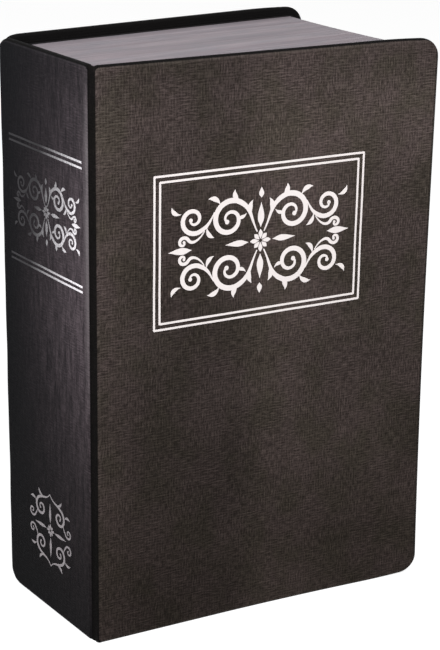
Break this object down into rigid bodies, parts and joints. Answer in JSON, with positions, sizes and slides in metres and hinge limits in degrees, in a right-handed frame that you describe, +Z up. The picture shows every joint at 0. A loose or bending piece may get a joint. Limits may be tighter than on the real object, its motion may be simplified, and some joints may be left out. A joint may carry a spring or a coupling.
{
  "type": "book diversion safe",
  "caption": "Small steel cash box with a key-locked hinged lid, hidden in a moulded page block inside a cloth-covered hardback book case.",
  "frame": {"origin": "on the surface it stands on, under the middle of the part's box with the front cover ajar as stored", "axes": "+Z up along the book's height, -X the spine, +X the fore-edge, -Y the front cover, +Y the back cover"},
  "size_m": [0.1158, 0.069, 0.18],
  "materials": {
    "cover_cloth": "dark brown-black linen book cloth, fine cross weave",
    "spine_cloth": "blue-black linen book cloth, fine cross weave",
    "groove_cloth": "black book cloth in the hinge groove",
    "board": "greyboard, hidden by the cloth",
    "endpaper": "matt dark endpaper",
    "pages": "moulded page edges, pale grey with fine lines",
    "black_steel": "black powder coat on sheet steel",
    "bright_steel": "zinc-plated steel",
    "chrome": "polished chrome"
  },
  "bodies": {
    "case": {"spine_board": "board", "spine_cloth": "spine_cloth", "spine_lining": "endpaper", "back_board": "board", "back_cloth": "cover_cloth", "back_endpaper": "endpaper", "back_joint_cloth": "spine_cloth", "front_joint_cloth": "groove_cloth", "page_block": "pages", "tray": "black_steel", "face_frame": "black_steel", "hinge_leaf_fixed": "bright_steel", "hinge_pin": "bright_steel", "fixed_rivet_1": "bright_steel", "fixed_rivet_2": "bright_steel", "fixed_rivet_3": "bright_steel", "tray_screw_1": "bright_steel", "tray_screw_2": "bright_steel", "tray_screw_3": "bright_steel", "tray_screw_4": "bright_steel"},
    "cover": {"front_board": "board", "front_cloth": "cover_cloth", "front_endpaper": "endpaper"},
    "lid": {"lid_plate": "black_steel", "hinge_leaf_moving": "bright_steel", "lid_rivet_1": "bright_steel", "lid_rivet_2": "bright_steel", "lid_rivet_3": "bright_steel", "lock_housing": "chrome", "lock_washer": "bright_steel", "lock_nut": "bright_steel"},
    "lock": {"lock_plug": "chrome", "lock_cam": "bright_steel", "cam_screw": "bright_steel"}
  },
  "joints": [
    {"name": "lid_hinge", "type": "hinge", "parent": "case", "child": "lid", "pos_m": [-0.04406, -0.01539, 0.09], "axis": [0, 0, -1], "range_deg": [-4.2, 99]},
    {"name": "cover_hinge", "type": "hinge", "parent": "case", "child": "cover", "pos_m": [-0.05651, -0.01902, 0.09], "axis": [0, 0, -1], "range_deg": [-7, 165], "deforming": ["front_joint_cloth"]},
    {"name": "lock_turn", "type": "hinge", "parent": "lid", "child": "lock", "pos_m": [0.02113, -0.01862, 0.09], "axis": [0.0732, 0.9973, 0], "range_deg": [0, 90]}
  ],
  "couplings": [
    {"joint": "cover_hinge", "follows": "lid_hinge", "ratio": 1.6666}
  ]
}
